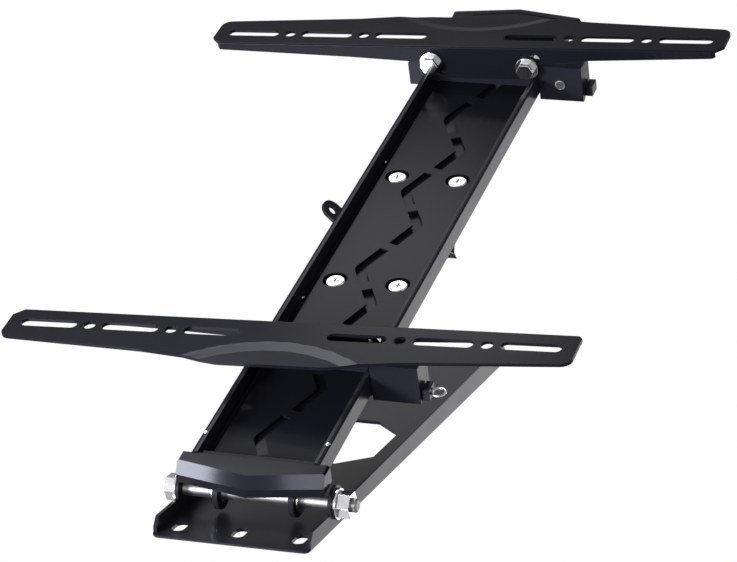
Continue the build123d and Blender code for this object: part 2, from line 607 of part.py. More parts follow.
# Screen arm: slotted face with a widened middle, and a flange that grows into the tilt tab
TAB_SIDE_ANGLE = degrees(atan2(TILT_BOLT_HALF, TILT_DROP)) + TILT_DOWN
TAB_FOOT_ANGLE = degrees(atan2(TAB_HALF, sqrt(TAB_RADIUS**2 - TAB_HALF**2)))
with BuildPart() as screen_arm:
    with BuildSketch(front(FACE_BACK)) as face:
        with BuildLine():
            Polyline(
                (0, SCREEN_ARM_RISE - SCREEN_HALF),
                (ARM_END_WIDTH, SCREEN_ARM_RISE - SCREEN_HALF),
                (ARM_SHOULDER_WIDTH, SCREEN_ARM_RISE - ARM_SHOULDER_HALF),
                (BULGE_WIDTH, SCREEN_ARM_RISE - BULGE_HALF),
                (BULGE_WIDTH, SCREEN_ARM_RISE + BULGE_HALF),
                (ARM_SHOULDER_WIDTH, SCREEN_ARM_RISE + ARM_SHOULDER_HALF),
                (ARM_END_WIDTH, SCREEN_ARM_RISE + SCREEN_HALF),
                (0, SCREEN_ARM_RISE + SCREEN_HALF),
                close=True,
            )
        make_face()
        free_corners = face.vertices().filter_by(lambda v: abs(v.X - ARM_END_WIDTH) < PICK)
        fillet(free_corners, ARM_CORNER)
        with Locations((SLOT_LINE, SCREEN_ARM_RISE)):
            for side in (-1, 1):
                for index in (0, 2, 4):
                    with Locations((0, side * (SLOT_FIRST + index * SLOT_PITCH))):
                        SlotOverall(SLOT_LENGTH, SLOT_WIDTH, rotation=UPRIGHT, mode=Mode.SUBTRACT)
                for index in (1, 3):
                    with Locations((0, side * (SLOT_FIRST + index * SLOT_PITCH))):
                        Circle(SLOT_WIDTH / 2, mode=Mode.SUBTRACT)
    extrude(amount=SCREEN_ARM_SHEET)
    with BuildSketch(across(0)):
        with BuildLine():
            Polyline(
                on_tilt_circle(-TAB_SIDE_ANGLE, TAB_RADIUS),
                (-TAB_SHOULDER_HALF, on_tilt_circle(TAB_SIDE_ANGLE, TAB_RADIUS)[1]),
                (SCREEN_ARM_RISE - MID_FLANGE_HALF, FACE_HEIGHT - MID_FLANGE),
                (SCREEN_ARM_RISE - SCREEN_HALF, FACE_HEIGHT - END_FLANGE),
                (SCREEN_ARM_RISE - SCREEN_HALF, FACE_HEIGHT),
                (SCREEN_ARM_RISE + SCREEN_HALF, FACE_HEIGHT),
                (SCREEN_ARM_RISE + SCREEN_HALF, FACE_HEIGHT - END_FLANGE),
                (SCREEN_ARM_RISE + MID_FLANGE_HALF, FACE_HEIGHT - MID_FLANGE),
                (TAB_SHOULDER_HALF, on_tilt_circle(TAB_SIDE_ANGLE, TAB_RADIUS)[1]),
                on_tilt_circle(TAB_SIDE_ANGLE, TAB_RADIUS),
            )
            CenterArc(
                (0, TILT_AXIS_HEIGHT),
                TAB_RADIUS,
                TAB_FOOT_ANGLE + BELOW,
                TAB_SIDE_ANGLE - TAB_FOOT_ANGLE,
            )
            Line(on_tilt_circle(TAB_FOOT_ANGLE, TAB_RADIUS), on_tilt_circle(-TAB_FOOT_ANGLE, TAB_RADIUS))
            CenterArc(
                (0, TILT_AXIS_HEIGHT),
                TAB_RADIUS,
                BELOW - TAB_SIDE_ANGLE,
                TAB_SIDE_ANGLE - TAB_FOOT_ANGLE,
            )
        make_face()
    extrude(amount=SCREEN_ARM_SHEET)
    with BuildSketch(across(0)):
        for middle, low, high in (
            (TILT_BOLT_ANGLE, TILT_DOWN, TILT_UP),
            (-TILT_BOLT_ANGLE, TILT_DOWN, TILT_UP),
        ):
            slot_arc = CenterArc(
                (0, TILT_AXIS_HEIGHT), TILT_RADIUS, BELOW + middle - low, low + high, mode=Mode.PRIVATE
            )
            SlotArc(slot_arc, TILT_BOLT_D + 2 * SIDE_CLEARANCE)
    extrude(amount=SCREEN_ARM_SHEET, mode=Mode.SUBTRACT)
    bend = screen_arm.edges().filter_by(Axis.Z).group_by(Axis.Y)[0].sort_by(Axis.X)[0]
    fillet(bend, SCREEN_ARM_SHEET * SCREEN_ARM_BEND)

# Tilt bolts and washers in front of the tab, nuts behind the hook bracket
def tilt_places():
    """Both bolt positions on a plane across the rail."""
    return Locations((TILT_BOLT_HALF, TILT_BOLT_HEIGHT), (-TILT_BOLT_HALF, TILT_BOLT_HEIGHT))


WASHER_X = -SIDE_CLEARANCE - TILT_WASHER_T
with BuildPart() as tilt_bolts:
    with BuildSketch(across(WASHER_X)):
        with tilt_places():
            Circle(TILT_BOLT_D / 2)
    extrude(amount=HOOK_OUTER_X + TILT_NUT + BOLT_END / 2 - WASHER_X)
    with BuildSketch(across(WASHER_X - TILT_HEAD)):
        with tilt_places():
            hexagon(TILT_HEX)
    extrude(amount=TILT_HEAD)

with BuildPart() as tilt_washers:
    with BuildSketch(across(WASHER_X)):
        with tilt_places():
            Circle(TILT_WASHER_D / 2)
            Circle(TILT_BOLT_D / 2 + BORE_CLEARANCE, mode=Mode.SUBTRACT)
    extrude(amount=TILT_WASHER_T)

with BuildPart() as tilt_nuts:
    with BuildSketch(across(HOOK_OUTER_X)):
        with tilt_places():
            hexagon(TILT_HEX)
            Circle(TILT_BOLT_D / 2 + BORE_CLEARANCE, mode=Mode.SUBTRACT)
    extrude(amount=TILT_NUT)

# Hook bracket: plate that hooks over both edges of the rail
NOTCH_INNER = RAIL_HALF - LIP_WIDTH - RAIL_CLEARANCE
NOTCH_OUTER = RAIL_HALF + RAIL_CLEARANCE
NOTCH_FRONT = RAIL_FRONT + RAIL_CLEARANCE
NOSE_OUTER = NOTCH_OUTER + NOSE_WIDTH
SCREW_PLACE = (-(LOCK_SIDE + LOCK_END) / 2, (LOCK_BACK + LOCK_FRONT) / 2)
with BuildPart() as hook_bracket:
    with BuildSketch(across(HOOK_X)) as hook:
        with BuildLine():
            Polyline(
                (-NOTCH_INNER, COVER_FRONT + RAIL_CLEARANCE),
                (NOTCH_INNER, COVER_FRONT + RAIL_CLEARANCE),
                (NOTCH_INNER, NOTCH_FRONT),
                (NOTCH_OUTER, NOTCH_FRONT),
                (NOTCH_OUTER, NOSE_BACK),
                (NOSE_OUTER, NOSE_BACK),
                (NOSE_OUTER, NOSE_FRONT),
                (HOOK_HALF, HOOK_FRONT),
                (-HOOK_HALF, HOOK_FRONT),
                (-HOOK_HALF - (HOOK_FRONT - LOCK_FRONT), LOCK_FRONT),
                (-LOCK_END, LOCK_FRONT),
                (-LOCK_END, LOCK_BACK),
                (-NOTCH_OUTER, LOCK_BACK),
                (-NOTCH_OUTER, NOTCH_FRONT),
                (-NOTCH_INNER, NOTCH_FRONT),
                close=True,
            )
        make_face()
        outer_ends = hook.vertices().filter_by(lambda v: abs(v.Z) > NOSE_OUTER - PICK)
        fillet(outer_ends, HOOK_CORNER)
        with tilt_places():
            Circle(TILT_BOLT_D / 2 + BORE_CLEARANCE, mode=Mode.SUBTRACT)
        with Locations(SCREW_PLACE):
            Circle(LOCK_SCREW_D / 2 + BORE_CLEARANCE, mode=Mode.SUBTRACT)
    extrude(amount=HOOK_SHEET)

# Lock box: folded housing behind the bracket's lower end, open to the rail and to the wall
BOX_MIDDLE = -(LOCK_SIDE + LOCK_END) / 2
BOX_WIDTH = LOCK_END - LOCK_SIDE
with BuildPart() as lock_box:
    with BuildSketch(across(HOOK_OUTER_X)):
        with Locations((BOX_MIDDLE, (LOCK_BACK + LOCK_FRONT) / 2)):
            Rectangle(BOX_WIDTH, LOCK_FRONT - LOCK_BACK)
    extrude(amount=LOCK_DEPTH)
    with BuildSketch(across(HOOK_OUTER_X + LOCK_WALL)):
        with Locations((BOX_MIDDLE + LOCK_WALL / 2, (LOCK_BACK + LOCK_FRONT - LOCK_WALL) / 2)):
            Rectangle(BOX_WIDTH - LOCK_WALL, LOCK_FRONT - LOCK_BACK - LOCK_WALL)
    extrude(amount=LOCK_DEPTH - 2 * LOCK_WALL, mode=Mode.SUBTRACT)
    latch_back = RAIL_BACK - SIDE_CLEARANCE - LATCH_T
    with BuildSketch(across(HOOK_OUTER_X + LOCK_WALL)):
        with Locations((-LOCK_END + LOCK_WALL / 2, (LOCK_BACK + RAIL_BACK) / 2)):
            Rectangle(LOCK_WALL, RAIL_BACK - LOCK_BACK)
    extrude(amount=LOCK_DEPTH - 2 * LOCK_WALL, mode=Mode.SUBTRACT)
    with BuildSketch(across(HOOK_OUTER_X)):
        with Locations(SCREW_PLACE):
            Circle(LOCK_SCREW_D / 2 + BORE_CLEARANCE)
    extrude(amount=LOCK_WALL, mode=Mode.SUBTRACT)

with BuildPart() as lock_screw:
    with BuildSketch(across(HOOK_X)):
        with Locations(SCREW_PLACE):
            Circle(LOCK_SCREW_D / 2)
    extrude(amount=HOOK_SHEET + LOCK_WALL)
    with BuildSketch(across(HOOK_X - LOCK_SCREW_HEAD_T)):
        with Locations(SCREW_PLACE):
            Circle(LOCK_SCREW_HEAD_D / 2)
    extrude(amount=LOCK_SCREW_HEAD_T)

# Latch: sliding tongue behind the rail's lower edge, with a grip below the box
TONGUE_END = LOCK_END + KNOB_LENGTH
with BuildPart() as lock_latch:
    with BuildSketch(across(HOOK_OUTER_X + LOCK_WALL + SIDE_CLEARANCE)):
        with Locations(((LATCH_GRIP - RAIL_HALF - TONGUE_END) / 2, latch_back + LATCH_T / 2)):
            Rectangle(TONGUE_END - RAIL_HALF + LATCH_GRIP, LATCH_T)
        with Locations((-LOCK_END - SIDE_CLEARANCE - KNOB_LENGTH / 2, latch_back + KNOB_HEIGHT / 2)):
            Rectangle(KNOB_LENGTH - 2 * SIDE_CLEARANCE, KNOB_HEIGHT)
    extrude(amount=LOCK_DEPTH - 2 * LOCK_WALL - 2 * SIDE_CLEARANCE)

# Pieces on the wall plate and the swing arm
for piece, name in ((wall_plate, "wall_plate"), (hinge_bolt, "hinge_bolt"), (hinge_nut, "hinge_nut"),
                    (hinge_washers, "hinge_washers"), (hinge_rings, "hinge_rings")):
    save(piece.part, name, WALL_POSE)
for piece, name in ((swing_arm, "swing_arm"), (arm_face_plate, "arm_face_plate"),
                    (hinge_bushes, "hinge_bushes"), (pivot_bushes, "pivot_bushes"),
                    (pivot_bracket, "pivot_bracket"), (pivot_bolt, "pivot_bolt"), (pivot_nut, "pivot_nut"),
                    (pivot_washers, "pivot_washers"), (rail, "rail"), (cover_plate, "cover_plate"),
                    (rail_screws, "rail_screws"), (end_cap, "end_cap_near")):
    save(piece.part, name, SWING_POSE)
far_cap = end_cap.part.mirror(Plane.YZ).moved(Location((2 * RAIL_MIDDLE, 0, 0)))
save(far_cap, "end_cap_far", SWING_POSE)

# Pieces of the two screen arms, the near one mirrored from the far one
for arm_name, arm_x, mirrored in (("near", NEAR_ARM_X, True), ("far", FAR_ARM_X, False)):
    for piece, name, tilts in (
        (screen_arm, "vesa_arm", True),
        (tilt_bolts, "tilt_bolts", False),
        (tilt_washers, "tilt_washers", False),
        (tilt_nuts, "tilt_nuts", False),
        (hook_bracket, "hook_bracket", False),
        (lock_box, "lock_box", False),
        (lock_screw, "lock_screw", False),
        (lock_latch, "lock_latch", False),
    ):
        solid = piece.part.mirror(Plane.YZ) if mirrored else piece.part
        pose = SWING_POSE * Location((arm_x, 0, 0))
        save(solid, f"{name}_{arm_name}", pose * TILT if tilts else pose)
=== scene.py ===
"""Looks of the tilt and swivel wall mount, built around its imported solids.

Sizes of the mount's pieces are in millimetres and angles in degrees. Meshes, the floor and the
camera's place are in metres.
"""

import json
import logging
import math
from dataclasses import dataclass, field
from enum import Enum
from typing import Callable, Iterable

import bmesh
import bpy
from mathutils import Matrix, Vector


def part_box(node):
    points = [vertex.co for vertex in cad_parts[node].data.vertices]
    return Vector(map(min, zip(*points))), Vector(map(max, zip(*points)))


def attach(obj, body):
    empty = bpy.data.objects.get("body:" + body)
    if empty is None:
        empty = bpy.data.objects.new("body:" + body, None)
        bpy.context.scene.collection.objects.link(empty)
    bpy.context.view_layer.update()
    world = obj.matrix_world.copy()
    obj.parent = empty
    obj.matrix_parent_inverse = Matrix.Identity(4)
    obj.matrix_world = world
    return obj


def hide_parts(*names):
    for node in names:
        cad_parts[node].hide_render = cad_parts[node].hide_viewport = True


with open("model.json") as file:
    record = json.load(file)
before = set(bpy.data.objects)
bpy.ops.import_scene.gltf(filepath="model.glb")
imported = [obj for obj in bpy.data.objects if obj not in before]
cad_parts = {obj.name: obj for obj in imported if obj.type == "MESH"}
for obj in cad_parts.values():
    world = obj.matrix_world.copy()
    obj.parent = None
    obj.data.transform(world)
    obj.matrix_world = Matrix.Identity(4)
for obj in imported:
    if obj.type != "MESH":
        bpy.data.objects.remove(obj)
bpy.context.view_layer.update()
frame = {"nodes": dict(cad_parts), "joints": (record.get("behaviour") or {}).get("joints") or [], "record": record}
MM = 0.001
SHARP_DEG = 32.0          # edges bent by more than this are shaded as sharp
FOLD_DEG = 35.0           # edges bent by more than this are rounded
FLAT_DEG = 0.5            # faces bent by less than this are joined
SAME_PLACE = 0.01 * MM    # places that differ by less than this are the same
MERGE_PLACE = 0.002 * MM  # corners nearer than this are merged
CUT_PLACE = 1e-7          # corners nearer than this to a cut lie on it
ROUND_PROFILE = 0.5       # round cross-section of every rounded edge
EDGE_SEGMENTS = 2         # steps round a softened edge
FOLD_SEGMENTS = 5         # steps round a visible bend
AREA_WEIGHT = 100         # how far the large faces set the shading of rounded edges

log = logging.getLogger("wall_mount")


class End(Enum):
    """The two ends of the rail, named from the wall hinge."""

    NEAR = "near"
    FAR = "far"

    @property
    def outward(self) -> int:
        """Direction along the rail in which this end's screen arm spreads its face."""
        return 1 if self is End.FAR else -1


@dataclass(frozen=True)
class HingeFrame:
    """Places given from the wall hinge: along the rail, height before the axes, and up."""

    swing_deg: float = 16.8            # turn of the rail about the vertical at rest
    tilt_deg: float = -2.5             # tilt of the screen arms at rest
    tilt_axis_height: float = 79.5     # height of the tilt axes before the hinge axes

    @property
    def origin(self) -> Vector:
        """Middle of the wall hinge, taken from the wall swivel joint."""
        joint = next(j for j in frame["joints"] if j["name"] == "swivel_wall")
        return Vector(joint["pos_m"])

    def matrix(self) -> Matrix:
        """Turns places along, height and up, in metres, into the row frame."""
        turn = Matrix.Rotation(math.radians(-self.swing_deg), 4, "Z")
        swap = Matrix(((1, 0, 0, 0), (0, -1, 0, 0), (0, 0, 1, 0), (0, 0, 0, 1)))
        return Matrix.Translation(self.origin) @ turn @ swap

    def at(self, along: float, height: float, up: float) -> Vector:
        """Place in the row frame.

        Args:
            along: millimetres along the rail from the wall hinge.
            height: millimetres before the hinge axes.
            up: millimetres above the middle of the rail.

        Returns:
            The place in metres.
        """
        return self.matrix() @ (Vector((along, height, up)) * MM)

    def box_of(self, node: str) -> tuple[Vector, Vector]:
        """Lowest and highest corners of a node along, before and above the hinge, in metres."""
        back = self.matrix().inverted()
        places = [back @ vert.co for vert in frame["nodes"][node].data.vertices]
        low = Vector([min(axis) for axis in zip(*places)])
        high = Vector([max(axis) for axis in zip(*places)])
        return low, high


HINGE = HingeFrame()


@dataclass(frozen=True)
class Finish:
    """One surface finish as a procedural material on object coordinates."""

    name: str
    colour: tuple[float, float, float]
    slot: str
    metallic: float = 0.0
    roughness: float = 0.4
    specular: float = 0.5
    colour_spread: float = 0.15
    roughness_spread: float = 0.06
    grain_mm: float = 1.2
    grain_depth_mm: float = 0.02
    cloud_mm: float = 60.0
    streaks: float = 1.0
    sheen: tuple[float, float, float] = (1.0, 1.0, 1.0)
    least_roughness: float = 0.04
    bump_strength: float = 0.6
    cloud_detail: float = 4.0
    grain_detail: float = 2.0

    def material(self) -> bpy.types.Material:
        """Builds the node tree once and returns the material."""
        existing = bpy.data.materials.get(self.name)
        if existing is not None:
            return existing
        made = bpy.data.materials.new(self.name)
        made.use_nodes = True
        nodes, links = made.node_tree.nodes, made.node_tree.links
        shader = nodes["Principled BSDF"]
        shader.inputs["Metallic"].default_value = self.metallic
        shader.inputs["Specular IOR Level"].default_value = self.specular
        shader.inputs["Specular Tint"].default_value = (*self.sheen, 1.0)
        place = nodes.new("ShaderNodeTexCoord")
        stretch = nodes.new("ShaderNodeMapping")
        stretch.inputs["Scale"].default_value = (1.0, 1.0, self.streaks)
        links.new(place.outputs["Object"], stretch.inputs["Vector"])
        cloud = self._noise(made, stretch, self.cloud_mm, self.cloud_detail)
        grain = self._noise(made, stretch, self.grain_mm, self.grain_detail)
        tint = nodes.new("ShaderNodeMix")
        tint.data_type = "RGBA"
        low = tuple(c * (1.0 - self.colour_spread) for c in self.colour)
        high = tuple(min(1.0, c * (1.0 + self.colour_spread)) for c in self.colour)
        tint.inputs["A"].default_value = (*low, 1.0)
        tint.inputs["B"].default_value = (*high, 1.0)
        links.new(cloud.outputs["Fac"], tint.inputs["Factor"])
        links.new(tint.outputs["Result"], shader.inputs["Base Color"])
        rough = nodes.new("ShaderNodeMapRange")
        smoothest = max(self.least_roughness, self.roughness - self.roughness_spread)
        rough.inputs["To Min"].default_value = smoothest
        rough.inputs["To Max"].default_value = self.roughness + self.roughness_spread
        links.new(cloud.outputs["Fac"], rough.inputs["Value"])
        links.new(rough.outputs["Result"], shader.inputs["Roughness"])
        bump = nodes.new("ShaderNodeBump")
        bump.inputs["Distance"].default_value = self.grain_depth_mm * MM
        bump.inputs["Strength"].default_value = self.bump_strength
        links.new(grain.outputs["Fac"], bump.inputs["Height"])
        links.new(bump.outputs["Normal"], shader.inputs["Normal"])
        return made

    @staticmethod
    def _noise(
        made: bpy.types.Material, mapping: bpy.types.Node, size_mm: float, detail: float
    ) -> bpy.types.Node:
        """Noise of a given size on the object's own coordinates."""
        noise = made.node_tree.nodes.new("ShaderNodeTexNoise")
        noise.inputs["Scale"].default_value = 1.0 / (size_mm * MM)
        noise.inputs["Detail"].default_value = detail
        made.node_tree.links.new(mapping.outputs["Vector"], noise.inputs["Vector"])
        return noise


BLUISH = (0.82, 0.85, 1.0)


@dataclass(frozen=True)
class Finishes:
    """All finishes on the mount."""

    black: Finish = Finish(
        "black_powder_coat", (0.0060, 0.0063, 0.0092), "black_coat", roughness=0.30, specular=0.045,
        sheen=BLUISH,
    )
    arm: Finish = Finish(
        "screen_arm_coat", (0.0034, 0.0036, 0.0055), "black_coat", roughness=0.20, specular=0.022,
        roughness_spread=0.03, sheen=BLUISH,
    )
    cover: Finish = Finish(
        "cover_satin_coat", (0.0030, 0.0032, 0.0048), "cover_coat", roughness=0.16, specular=0.020,
        roughness_spread=0.02, grain_depth_mm=0.01, cloud_mm=140.0, sheen=BLUISH,
    )
    zinc: Finish = Finish(
        "zinc_plate", (0.30, 0.30, 0.31), "zinc", metallic=1.0, roughness=0.32, streaks=3.0,
        grain_mm=0.6, grain_depth_mm=0.006, cloud_mm=6.0,
    )
    chrome: Finish = Finish(
        "bright_steel", (0.56, 0.56, 0.58), "bright_screw", metallic=1.0, roughness=0.15,
        roughness_spread=0.03, grain_mm=0.8, grain_depth_mm=0.003, cloud_mm=8.0, colour_spread=0.12,
    )
    rod: Finish = Finish(
        "dull_steel", (0.13, 0.13, 0.14), "zinc", metallic=1.0, roughness=0.48, streaks=3.0,
        grain_mm=0.6, grain_depth_mm=0.006, cloud_mm=6.0,
    )
    moulded: Finish = Finish(
        "cap_moulding", (0.0040, 0.0042, 0.0062), "grey_moulding", roughness=0.15, specular=0.045,
        grain_mm=0.7, grain_depth_mm=0.01, sheen=BLUISH,
    )
    nylon: Finish = Finish("hinge_bush", (0.05, 0.05, 0.05), "bush_nylon", roughness=0.5)


FINISH = Finishes()


def finish_object(obj: bpy.types.Object, finish: Finish) -> None:
    """Gives an object one finish in all its slots."""
    obj.data.materials.clear()
    obj.data.materials.append(finish.material())


def face_outward(work: bmesh.types.BMesh) -> None:
    """Turns every closed shell of a mesh so that its faces point outwards."""
    bmesh.ops.recalc_face_normals(work, faces=work.faces)
    left = set(work.faces)
    while left:
        shell = {left.pop()}
        border = list(shell)
        while border:
            beside = {f for e in border.pop().edges for f in e.link_faces} - shell
            shell |= beside
            border.extend(beside)
        left -= shell
        volume = 0.0
        for face in shell:
            first, *others = (v.co for v in face.verts)
            volume += sum(first.dot(a.cross(b)) for a, b in zip(others, others[1:]))
        if volume < 0:
            bmesh.ops.reverse_faces(work, faces=list(shell))


def object_from(
    work: bmesh.types.BMesh, name: str, finish: Finish, body: str, sharp_deg: float = SHARP_DEG
) -> bpy.types.Object:
    """Turns a finished bmesh into a piece that rides on a body.

    Args:
        work: the mesh in row frame metres; it is freed.
        name: the piece's name.
        finish: its surface finish.
        body: the body that carries it.
        sharp_deg: edges bent by more than this stay sharp.

    Returns:
        The new object.
    """
    face_outward(work)
    mesh = bpy.data.meshes.new(name)
    work.to_mesh(mesh)
    work.free()
    piece = bpy.data.objects.new(name, mesh)
    bpy.context.scene.collection.objects.link(piece)
    finish_object(piece, finish)
    for polygon in mesh.polygons:
        polygon.use_smooth = True
    mesh.set_sharp_from_angle(angle=math.radians(sharp_deg))
    level = piece.modifiers.new("level_normals", "WEIGHTED_NORMAL")
    level.mode = "FACE_AREA"
    level.weight = AREA_WEIGHT
    level.keep_sharp = True
    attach(piece, body)
    log.info("%s rides on %s with %d faces", name, body, len(mesh.polygons))
    return piece


def merged_copy(node: str) -> bmesh.types.BMesh:
    """Merged copy of a node's mesh with its flat faces joined into single polygons."""
    work = bmesh.new()
    work.from_mesh(frame["nodes"][node].data)
    bmesh.ops.remove_doubles(work, verts=work.verts, dist=MERGE_PLACE)
    bmesh.ops.dissolve_limit(
        work, angle_limit=math.radians(FLAT_DEG), verts=work.verts, edges=work.edges, delimit=set()
    )
    return work


def round_edges(
    work: bmesh.types.BMesh, edges: list[bmesh.types.BMEdge], radius_mm: float, segments: int
) -> None:
    """Rounds chosen edges.

    Args:
        work: the mesh that holds them.
        edges: the edges to round.
        radius_mm: width of the rounding on each side.
        segments: number of steps round the bend.
    """
    bmesh.ops.bevel(
        work, geom=edges, offset=radius_mm * MM, offset_type="OFFSET", segments=segments,
        profile=ROUND_PROFILE, affect="EDGES", clamp_overlap=True, material=-1,
    )


def soften_edges(work: bmesh.types.BMesh, width_mm: float) -> None:
    """Rounds the sharp edges of a sheet piece so that they catch the light."""
    sharp = [
        e for e in work.edges
        if len(e.link_faces) == 2 and e.calc_face_angle(0.0) > math.radians(FOLD_DEG)
    ]
    round_edges(work, sharp, width_mm, EDGE_SEGMENTS)


def carve(solid: bmesh.types.BMesh, cutter: bmesh.types.BMesh) -> bmesh.types.BMesh:
    """Takes one closed mesh out of another.

    Args:
        solid: the mesh that is cut; it is freed.
        cutter: the closed mesh of what is taken out; it is freed.

    Returns:
        The mesh that is left.
    """
    holders = []
    for name, work in (("carved", solid), ("cutter", cutter)):
        bmesh.ops.recalc_face_normals(work, faces=work.faces)
        mesh = bpy.data.meshes.new(name)
        work.to_mesh(mesh)
        work.free()
        holder = bpy.data.objects.new(name, mesh)
        bpy.context.scene.collection.objects.link(holder)
        holders.append(holder)
    cut = holders[0].modifiers.new("cut", "BOOLEAN")
    cut.operation = "DIFFERENCE"
    cut.solver = "EXACT"
    cut.object = holders[1]
    left = bmesh.new()
    left.from_object(holders[0], bpy.context.evaluated_depsgraph_get())
    for holder in holders:
        mesh = holder.data
        bpy.data.objects.remove(holder)
        bpy.data.meshes.remove(mesh)
    return left


def with_borders(
    faces: list[bmesh.types.BMFace],
) -> list[bmesh.types.BMVert | bmesh.types.BMEdge | bmesh.types.BMFace]:
    """Faces together with their edges and corners."""
    return list({e for f in faces for e in f.edges} | {v for f in faces for v in f.verts}) + faces


def add_block(work: bmesh.types.BMesh, low: Vector, high: Vector) -> None:
    """Adds a closed block between two corners to a mesh."""
    place = Matrix.Translation((low + high) / 2) @ Matrix.Diagonal((*(high - low), 1))
    bmesh.ops.create_cube(work, size=1.0, matrix=place)


def block(low: Vector, high: Vector) -> bmesh.types.BMesh:
    """Closed block between two corners."""
    work = bmesh.new()
    add_block(work, low, high)
    return work


def body_of(node: str) -> str:
    """Body that a node belongs to."""
    bodies = frame["record"]["behaviour"]["bodies"]
    return next(body for body, nodes in bodies.items() if node in nodes)


def softened(
    node: str, finish: Finish, width_mm: float,
    shape: Callable[[bmesh.types.BMesh], None] | None = None, sharp_deg: float = SHARP_DEG,
) -> bpy.types.Object:
    """Replaces a node by a copy with rounded edges, and perhaps a further form.

    Args:
        node: the node to stand for.
        finish: the surface finish.
        width_mm: width of the rounding.
        shape: optional change to the merged mesh before its edges are rounded.
        sharp_deg: edges bent by more than this stay sharp.

    Returns:
        The piece that stands for the node.
    """
    work = merged_copy(node)
    if shape is not None:
        shape(work)
    soften_edges(work, width_mm)
    low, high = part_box(node)
    for vert in work.verts:
        vert.co = [min(max(c, least), most) for c, least, most in zip(vert.co, low, high)]
    piece = object_from(work, f"{node}_finished", finish, body_of(node), sharp_deg)
    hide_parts(node)
    return piece


@dataclass
class WallSide:
    """Wall plate with its hinge bolt, rings, washers and nut."""

    edge_mm: float = 0.5
    fastener_edge_mm: float = 0.45

    def build(self) -> list[bpy.types.Object]:
        """Builds the fixed pieces."""
        made = [softened("wall_plate", FINISH.black, self.edge_mm)]
        for node in ("hinge_nut", "hinge_washers", "hinge_rings"):
            made.append(softened(node, FINISH.chrome, self.fastener_edge_mm))
        made.append(softened("hinge_bolt", FINISH.rod, self.fastener_edge_mm))
        return made


@dataclass
class SwingArm:
    """Swing arm, its broad face plate and its bushes."""

    edge_mm: float = 0.5

    def build(self) -> list[bpy.types.Object]:
        """Builds the swinging pieces."""
        steel = ("swing_arm", "arm_face_plate")
        made = [softened(node, FINISH.black, self.edge_mm) for node in steel]
        for node in ("hinge_bushes", "pivot_bushes"):
            finish_object(frame["nodes"][node], FINISH.nylon)
        return made


